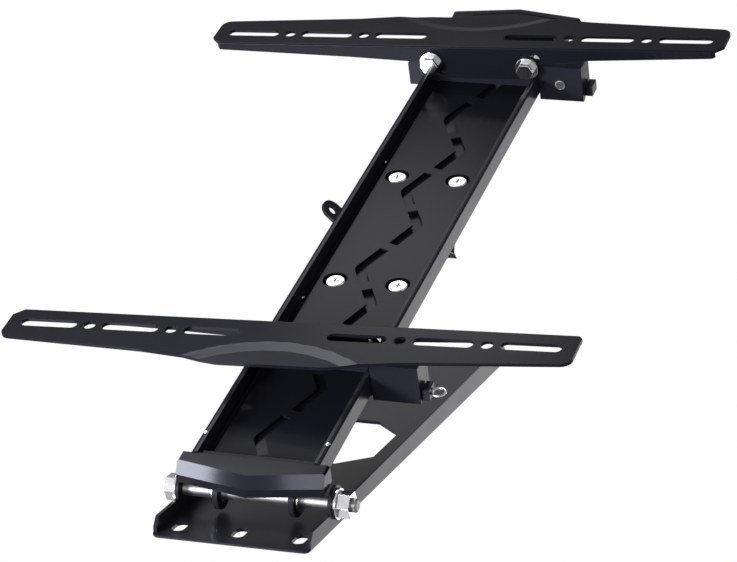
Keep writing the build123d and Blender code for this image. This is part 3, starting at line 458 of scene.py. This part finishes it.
@dataclass
class Cover:
    """Shallow tray over the rail's web, with bent slots and holes over the screws."""

    sheet: float = 1.5
    slot_width: float = 8.0
    bend_radius: float = 4.0
    pitch: float = 110.8
    count: int = 5
    upper_bend: tuple[float, float] = (39.2, 11.2)
    upper_legs: tuple[tuple[float, float], ...] = ((27.8, -10.5), (-18.8, -10.0))
    lower_bend: tuple[float, float] = (103.4, -14.0)
    lower_legs: tuple[tuple[float, float], ...] = ((19.1, 10.5), (-28.7, 10.5))
    hole_radius: float = 9.5
    hole_segments: int = 40
    head_radius: float = 8.0
    fold_radius: float = 2.8
    edge_mm: float = 0.25

    @property
    def cut_depth(self) -> float:
        """Depth of a cutter in metres; half of it lies before the cover's front."""
        return 4 * self.sheet * MM

    def build(self) -> bpy.types.Object:
        """Builds the tray in the place of its solid."""
        low, high = HINGE.box_of("cover_plate")
        rim = Vector((self.sheet, 0, self.sheet)) * MM
        below, front = Vector((0, MM, 0)), Vector((0, self.sheet * MM, 0))
        hollow = block(low + rim - below, high - rim - front)
        tray = carve(block(low, high), hollow)
        for cutter in (self.slots(high.y), self.screw_holes(high.y)):
            tray = carve(tray, cutter)
        self.round_folds(tray, low, high)
        tray.transform(HINGE.matrix())
        soften_edges(tray, self.edge_mm)
        piece = object_from(tray, "cover_plate_finished", FINISH.cover, body_of("cover_plate"))
        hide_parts("cover_plate")
        return piece

    def round_folds(self, tray: bmesh.types.BMesh, low: Vector, high: Vector) -> None:
        """Rounds the two long folds of the tray, which catch a line of light."""
        folds = [
            e for e in tray.edges
            if all(
                abs(v.co.y - high.y) < SAME_PLACE
                and min(abs(v.co.z - low.z), abs(v.co.z - high.z)) < SAME_PLACE
                for v in e.verts
            )
        ]
        round_edges(tray, folds, self.fold_radius, FOLD_SEGMENTS)

    def slots(self, front: float) -> bmesh.types.BMesh:
        """Cutters of all bent slots, peaks toward the upper and the lower wall in turn."""
        bends = ((self.upper_bend, self.upper_legs), (self.lower_bend, self.lower_legs))
        work = bmesh.new()
        for index in range(self.count):
            step = index * self.pitch
            for (along, up), legs in bends:
                self.bent_bar(work, Vector((along + step, up)), legs, front)
        return work

    def bent_bar(
        self, work: bmesh.types.BMesh, bend: Vector, legs: tuple[tuple[float, float], ...],
        front: float,
    ) -> None:
        """Adds one bent bar with square ends and a rounded outer bend.

        Args:
            work: the mesh that takes the bar.
            bend: place of the bend, along and up, in millimetres.
            legs: reach of each leg from the bend, along and up.
            front: front of the cover, in metres.
        """
        first, second = (Vector(leg) for leg in legs)
        inward = (first.normalized() + second.normalized()).normalized()
        half = self.slot_width / 2
        miter = inward * half / math.sin(inward.angle(first))
        rims = []
        for leg in (first, second):
            along = leg.normalized()
            rims.append((inward - along * inward.dot(along)).normalized() * half)
        outline = (
            bend + first - rims[0], bend - miter, bend + second - rims[1],
            bend + second + rims[1], bend + miter, bend + first + rims[0],
        )
        back = front - self.cut_depth / 2
        verts = [work.verts.new((p.x * MM, back, p.y * MM)) for p in outline]
        face = work.faces.new(verts)
        raised = bmesh.ops.extrude_face_region(work, geom=[face])["geom"]
        tops = [item for item in raised if isinstance(item, bmesh.types.BMVert)]
        bmesh.ops.translate(work, verts=tops, vec=(0, self.cut_depth, 0))
        outer = verts[1]
        edge = next(e for e in outer.link_edges if e.other_vert(outer) in tops)
        round_edges(work, [edge], self.bend_radius, FOLD_SEGMENTS)

    def screw_holes(self, front: float) -> bmesh.types.BMesh:
        """Cutters of the round holes over the four screws."""
        low, high = HINGE.box_of("rail_screws")
        head = self.head_radius * MM
        radius = self.hole_radius * MM
        turn = Matrix.Rotation(math.pi / 2, 4, "X")
        work = bmesh.new()
        for along in (low.x + head, high.x - head):
            for up in (low.z + head, high.z - head):
                bmesh.ops.create_cone(
                    work, cap_ends=True, segments=self.hole_segments, radius1=radius,
                    radius2=radius, depth=self.cut_depth,
                    matrix=Matrix.Translation((along, front, up)) @ turn,
                )
        return work


@dataclass
class Rail:
    """Rail with its hemmed walls, caps, screws, pivot pieces and rivets."""

    edge_mm: float = 0.5
    cap_edge_mm: float = 0.6
    fastener_edge_mm: float = 0.45
    screw_edge_mm: float = 0.2
    rivet_radius: float = 1.9
    rivet_segments: int = 20
    rivet_per_pin: float = 1.5    # how many times as wide as a pin head a rivet is
    rivet_height: float = 0.8
    half_width: float = 47.5      # of the rail over its side walls
    lip_width: float = 4.5
    sheet: float = 2.5
    back: float = 13.5            # height of the web's back before the hinge axes
    front: float = 29.5           # height of the lips' front before the hinge axes
    seam_up: float = 45.7
    seam_half: float = 0.3
    seam_depth: float = 0.7
    hem_inset: float = 0.2
    groove_depth: float = 1.3
    groove_margin: float = 0.05
    cap_sharp_deg: float = 12.0
    rail_middle: float = 300.0    # parts the near cap from the far one
    foot_margin: float = 0.02
    bevel_foot: float = 16.0      # height at which a cap's bevel ends in the solid
    bevel_lift: float = 4.0
    cap_inner: float = 48.5       # the cap's side lies beyond this
    cap_reach: float = 12.0       # the cap's outer end lies within this
    lip_rivets: tuple[float, ...] = (27.5, 607.5)
    pins: tuple[float, ...] = (218.0, 414.0)
    pin_up: float = 41.6
    pin_height: float = 18.6

    def build(self) -> list[bpy.types.Object]:
        """Builds everything that turns with the rail."""
        made = [
            softened("rail", FINISH.black, self.edge_mm, self.seams),
            self.hems(),
            Cover().build(),
            softened("pivot_bracket", FINISH.black, self.edge_mm),
        ]
        for node in ("end_cap_near", "end_cap_far"):
            cap = softened(
                node, FINISH.moulded, self.cap_edge_mm, self.cap_form, self.cap_sharp_deg
            )
            made.append(cap)
        for node in ("pivot_bolt", "pivot_nut", "pivot_washers"):
            made.append(softened(node, FINISH.zinc, self.fastener_edge_mm))
        made.append(softened("rail_screws", FINISH.chrome, self.screw_edge_mm))
        made.append(self.rivets())
        return made

    def seams(self, work: bmesh.types.BMesh) -> None:
        """Cuts the fine seam of the hem along the top of each side wall."""
        work.transform(HINGE.matrix().inverted())
        for side in (-1, 1):
            for shift in (-self.seam_half, 0.0, self.seam_half):
                tops = [
                    f for f in work.faces
                    if all(abs(v.co.y - self.front * MM) < SAME_PLACE for v in f.verts)
                ]
                bmesh.ops.bisect_plane(
                    work, geom=with_borders(tops), dist=CUT_PLACE,
                    plane_co=(0, 0, (side * self.seam_up + shift) * MM), plane_no=(0, 0, 1),
                )
        for vert in work.verts:
            on_top = abs(vert.co.y - self.front * MM) < SAME_PLACE
            if on_top and abs(abs(vert.co.z) - self.seam_up * MM) < SAME_PLACE:
                vert.co.y -= self.seam_depth * MM
        work.transform(HINGE.matrix())

    def hems(self) -> bpy.types.Object:
        """Folded-back inner half of each side wall, from the lip down to the web."""
        low, high = HINGE.box_of("rail")
        inset = self.hem_inset
        work = bmesh.new()
        for side in (-1, 1):
            inner = side * (self.half_width - self.lip_width)
            outer = side * (self.half_width - self.sheet + inset)
            least = Vector((low.x, (self.back + self.sheet - inset) * MM, min(inner, outer) * MM))
            most = Vector((high.x, (self.front - self.sheet + inset) * MM, max(inner, outer) * MM))
            add_block(work, least, most)
        work.transform(HINGE.matrix())
        return object_from(work, "wall_hems", FINISH.black, "rail")

    def cap_form(self, work: bmesh.types.BMesh) -> None:
        """Closes the narrow groove in a cap's top and ends its bevel above a steep lower side."""
        work.transform(HINGE.matrix().inverted())
        top = max(v.co.y for v in work.verts)
        in_groove = [
            f for f in work.faces
            if self.groove_margin * MM < top - f.calc_center_median().y < self.groove_depth * MM
        ]
        bmesh.ops.delete(work, geom=in_groove, context="FACES")
        rims = [e for e in work.edges if e.is_boundary]
        if rims:
            bmesh.ops.holes_fill(work, edges=rims, sides=0)
        ends = [v.co.x for v in work.verts]
        outer = min(ends) if sum(ends) / len(ends) < self.rail_middle * MM else max(ends)
        for vert in work.verts:
            at_foot = abs(vert.co.y - self.bevel_foot * MM) < self.foot_margin * MM
            at_side = abs(vert.co.z) > self.cap_inner * MM
            if at_foot and (at_side or abs(vert.co.x - outer) < self.cap_reach * MM):
                vert.co.y += self.bevel_lift * MM
        work.transform(HINGE.matrix())

    def rivets(self) -> bpy.types.Object:
        """Small domed rivets in the lips, and the pin heads between the cover and the wall."""
        work = bmesh.new()
        middle = self.half_width - self.lip_width / 2
        places = [(x, self.front, up) for up in (middle, -middle) for x in self.lip_rivets]
        places += [(x, self.pin_height, self.pin_up) for x in self.pins]
        for along, height, up in places:
            seat = HINGE.matrix() @ Matrix.Translation(Vector((along, height, up)) * MM)
            in_lip = height == self.front
            wide = self.rivet_radius if in_lip else self.rivet_radius / self.rivet_per_pin
            size = Matrix.Diagonal((wide * MM, self.rivet_height * MM, wide * MM, 1))
            bmesh.ops.create_uvsphere(
                work, u_segments=self.rivet_segments, v_segments=self.rivet_segments // 2,
                radius=1.0, matrix=seat @ size,
            )
        return object_from(work, "lip_rivets", FINISH.zinc, "rail")


@dataclass
class ScreenArm:
    """One tilting arm with its hook bracket, bolts and lock."""

    end: End
    edge_mm: float = 0.45
    fastener_edge_mm: float = 0.4
    crease_from_bend: float = 27.0
    crease_radius: float = 110.0
    crease_half_deg: float = 38.0
    crease_steps: int = 9
    crease_band: float = 9.0
    crease_cuts: tuple[float, ...] = (0.0, 0.25, 0.75, 1.0)   # shares of the band's width
    band_deg: float = 10.0        # slope of the crease's band
    beyond_deg: float = 3.0       # slope of the face past the band
    upper_cut: float = 8.5
    lower_cut: dict[End, float] = field(default_factory=lambda: {End.NEAR: 4.0, End.FAR: 8.5})
    half_length: float = 217.5
    nose_radius: float = 5.0
    nose_segments: int = 6
    rise: float = 17.0            # how far the arm's middle lies above the rail's
    bend: dict[End, float] = field(default_factory=lambda: {End.NEAR: 135.0, End.FAR: 538.0})
    face_height: float = 55.0
    cut_margin: float = 1.0
    press_margin: float = 0.5
    sheet: float = 2.5
    hook_outer: float = 6.8
    lock_depth: float = 17.0
    lock_end: float = 84.0
    loop_radius: float = 5.0
    loop_wire: float = 0.8
    loop_height: float = 15.0
    loop_gap: float = 6.0
    loop_segments: int = 36
    wire_segments: int = 10
    loop_merge: float = 0.001

    def name(self, part: str) -> str:
        """Name of a node at this end."""
        return f"{part}_{self.end.value}"

    def to_drawn(self) -> Matrix:
        """Turns row frame places into the arm's drawn place: out from the bend, height, up."""
        tilt = Matrix.Rotation(math.radians(-HINGE.tilt_deg), 4, "X")
        raise_axis = Matrix.Translation((0, HINGE.tilt_axis_height * MM, 0))
        shift = Matrix.Translation((self.bend[self.end] * MM, 0, 0))
        mirror = Matrix.Diagonal((self.end.outward, 1, 1, 1))
        drawn = HINGE.matrix() @ shift @ raise_axis @ tilt @ raise_axis.inverted() @ mirror
        return drawn.inverted()

    def form_arm(self, work: bmesh.types.BMesh) -> None:
        """Presses the curved crease into the face and cuts the bent corners at both ends."""
        to_drawn = self.to_drawn()
        work.transform(to_drawn)
        self.crease(work)
        for side, end_cut in ((-1, self.lower_cut[self.end]), (1, self.upper_cut)):
            corner = Vector((0, 0, self.rise + side * (self.half_length - end_cut))) * MM
            cut = bmesh.ops.bisect_plane(
                work, geom=work.verts[:] + work.edges[:] + work.faces[:], plane_co=corner,
                plane_no=Vector((-1, 0, side)).normalized(), dist=CUT_PLACE, clear_outer=True,
            )
            rims = [item for item in cut["geom_cut"] if isinstance(item, bmesh.types.BMEdge)]
            bmesh.ops.edgeloop_fill(work, edges=rims)
        work.transform(to_drawn.inverted())

    def crease(self, work: bmesh.types.BMesh) -> None:
        """Steps the widened middle of the face down past an arc, by a narrow sloping band."""
        centre = Vector((self.crease_from_bend + self.crease_radius, 0, self.rise)) * MM
        underside = (self.face_height - self.sheet) * MM
        for share in self.crease_cuts:
            radius = self.crease_radius - share * self.crease_band
            for step in range(self.crease_steps):
                turn = math.radians(self.crease_half_deg) * (2 * step / (self.crease_steps - 1) - 1)
                toward = Vector((-math.cos(turn), 0, math.sin(turn)))
                upper = [
                    f for f in work.faces
                    if f.calc_center_median().y > underside - self.cut_margin * MM
                ]
                bmesh.ops.bisect_plane(
                    work, geom=with_borders(upper), plane_co=centre + toward * radius * MM,
                    plane_no=toward, dist=CUT_PLACE,
                )
        band = self.crease_band * MM
        for vert in work.verts:
            if vert.co.y < underside - self.press_margin * MM:
                continue
            flat = Vector((vert.co.x - centre.x, 0, vert.co.z - centre.z))
            inside = self.crease_radius * MM - flat.length
            if inside > 0:
                vert.co.y -= min(inside, band) * math.tan(math.radians(self.band_deg))
                vert.co.y -= max(inside - band, 0.0) * math.tan(math.radians(self.beyond_deg))

    def round_nose(self, work: bmesh.types.BMesh) -> None:
        """Rounds the two outer corners of the hook bracket's nose."""
        work.transform(HINGE.matrix().inverted())
        top = max(v.co.z for v in work.verts)
        corners = [
            e for e in work.edges
            if all(abs(v.co.z - top) < SAME_PLACE for v in e.verts)
            and abs(e.verts[0].co.x - e.verts[1].co.x) > MM
        ]
        round_edges(work, corners, self.nose_radius, self.nose_segments)
        work.transform(HINGE.matrix())

    def build(self) -> list[bpy.types.Object]:
        """Builds the arm, its bracket, fasteners and lock."""
        made = [softened(self.name("vesa_arm"), FINISH.arm, self.edge_mm, self.form_arm)]
        hook = softened(self.name("hook_bracket"), FINISH.black, self.edge_mm, self.round_nose)
        made.append(hook)
        for part in ("lock_box", "lock_latch"):
            made.append(softened(self.name(part), FINISH.black, self.edge_mm))
        for part in ("tilt_bolts", "tilt_washers", "tilt_nuts", "lock_screw"):
            made.append(softened(self.name(part), FINISH.chrome, self.fastener_edge_mm))
        if self.end is End.NEAR:
            made.append(self.pull_loop())
        return made

    def pull_loop(self) -> bpy.types.Object:
        """Wire loop in the end of the latch, for a finger or a cord."""
        work = bmesh.new()
        wire = self.loop_wire * MM
        along = self.bend[self.end] + self.end.outward * (self.hook_outer + self.lock_depth / 2)
        up = -self.lock_end - self.loop_gap - self.loop_radius
        centre = HINGE.at(along, self.loop_height, up)
        circle = bmesh.ops.create_circle(work, segments=self.wire_segments, radius=wire)["verts"]
        bmesh.ops.translate(work, verts=circle, vec=(self.loop_radius * MM, 0, 0))
        edges = list({e for v in circle for e in v.link_edges})
        bmesh.ops.spin(
            work, geom=circle + edges, cent=(0, 0, 0), axis=(0, 1, 0), angle=math.tau,
            steps=self.loop_segments, use_merge=True,
        )
        bmesh.ops.remove_doubles(work, verts=work.verts, dist=self.loop_merge * MM)
        turn = Matrix.Rotation(math.radians(-HINGE.swing_deg), 4, "Z")
        work.transform(Matrix.Translation(centre) @ turn)
        return object_from(work, self.name("pull_loop"), FINISH.zinc, self.name("latch"))


@dataclass(frozen=True)
class Lamp:
    """Square soft lamp: its place from the wall hinge in millimetres, its side in metres."""

    name: str
    place: tuple[float, float, float]
    size: float
    power: float

    def build(self, target: Vector) -> None:
        """Builds the lamp and aims it at a place."""
        data = bpy.data.lights.new(self.name, "AREA")
        data.size = self.size
        data.energy = self.power
        lamp = bpy.data.objects.new(self.name, data)
        bpy.context.scene.collection.objects.link(lamp)
        lamp.location = HINGE.at(*self.place)
        lamp.rotation_mode = "QUATERNION"
        lamp.rotation_quaternion = (target - HINGE.at(*self.place)).to_track_quat("-Z", "Y")


@dataclass
class Studio:
    """Pale floor, white surroundings and soft lamps."""

    floor_z: float = -1.6
    floor_size: float = 30.0
    floor_shade: float = 0.9
    floor_roughness: float = 0.9
    ambient: float = 0.45
    lamps: tuple[Lamp, ...] = (
        Lamp("sheen", (1730.0, 1029.0, 620.0), 0.32, 2.2),
        Lamp("crease", (1062.0, 1245.0, 748.0), 0.5, 22.0),
        Lamp("front", (-927.0, 486.0, 845.0), 0.40, 80.0),
        Lamp("side", (-1156.0, 631.0, 30.0), 0.40, 18.0),
        Lamp("upper", (200.0, 900.0, 1700.0), 1.2, 6.0),
        Lamp("under", (1732.0, -1240.0, -760.0), 1.0, 9.0),
        Lamp("rear", (-1017.0, -861.0, 668.0), 0.6, 18.0),
    )
    target: Vector = field(default_factory=lambda: HINGE.at(300.0, 20.0, 0.0))

    def build(self) -> None:
        """Builds the floor, the world and the lamps."""
        self.floor()
        self.world()
        for lamp in self.lamps:
            lamp.build(self.target)

    def floor(self) -> None:
        """Large pale floor below the object."""
        work = bmesh.new()
        bmesh.ops.create_grid(work, x_segments=1, y_segments=1, size=self.floor_size / 2)
        mesh = bpy.data.meshes.new("pale_floor")
        work.to_mesh(mesh)
        work.free()
        floor = bpy.data.objects.new("pale_floor", mesh)
        bpy.context.scene.collection.objects.link(floor)
        floor.location = (0, 0, self.floor_z)
        material = bpy.data.materials.new("pale_floor_paint")
        material.use_nodes = True
        shader = material.node_tree.nodes["Principled BSDF"]
        shade = self.floor_shade
        shader.inputs["Base Color"].default_value = (shade, shade, shade, 1)
        shader.inputs["Roughness"].default_value = self.floor_roughness
        mesh.materials.append(material)

    def world(self) -> None:
        """White to the camera and in reflections, softer as light."""
        world = bpy.data.worlds.new("studio")
        bpy.context.scene.world = world
        world.use_nodes = True
        nodes, links = world.node_tree.nodes, world.node_tree.links
        background = nodes["Background"]
        background.inputs["Color"].default_value = (1, 1, 1, 1)
        path = nodes.new("ShaderNodeLightPath")
        seen = nodes.new("ShaderNodeMath")
        seen.operation = "MAXIMUM"
        links.new(path.outputs["Is Camera Ray"], seen.inputs[0])
        links.new(path.outputs["Is Transmission Ray"], seen.inputs[1])
        both = nodes.new("ShaderNodeMath")
        both.operation = "MAXIMUM"
        links.new(seen.outputs["Value"], both.inputs[0])
        links.new(path.outputs["Is Glossy Ray"], both.inputs[1])
        strength = nodes.new("ShaderNodeMapRange")
        strength.inputs["To Min"].default_value = self.ambient
        strength.inputs["To Max"].default_value = 1.0
        links.new(both.outputs["Value"], strength.inputs["Value"])
        links.new(strength.outputs["Result"], background.inputs["Strength"])


@dataclass(frozen=True)
class PhotoView:
    """Camera of the photograph: photo left is up on the object."""

    place: tuple[float, float, float] = (-2.2901, -0.8426, -0.8509)
    look: tuple[float, float, float] = (0.9021, 0.2823, 0.3260)
    up: tuple[float, float, float] = (0.2725, -0.9587, 0.0780)
    lens_mm: float = 171.58
    sensor_mm: float = 36.0

    def build(self) -> None:
        """Creates the camera and makes it the scene's own."""
        data = bpy.data.cameras.new("photo_view")
        data.lens = self.lens_mm
        data.sensor_width = self.sensor_mm
        camera = bpy.data.objects.new("photo_view", data)
        bpy.context.scene.collection.objects.link(camera)
        back = -Vector(self.look).normalized()
        right = Vector(self.up).cross(back).normalized()
        up = back.cross(right)
        turned = Matrix((right, up, back)).transposed()
        camera.rotation_mode = "QUATERNION"
        camera.rotation_quaternion = turned.to_quaternion()
        camera.location = self.place
        bpy.context.scene.camera = camera


def main() -> None:
    """Builds the mount's pieces, the studio and the camera."""
    logging.basicConfig(level=logging.INFO, format="%(message)s")
    bpy.context.scene.view_settings.view_transform = "Standard"
    for group in (WallSide(), SwingArm(), Rail(), ScreenArm(End.NEAR), ScreenArm(End.FAR)):
        pieces = group.build()
        log.info("%s made %d pieces", type(group).__name__, len(pieces))
    Studio().build()
    PhotoView().build()
    bpy.context.view_layer.update()


if __name__ == "__main__":
    main()
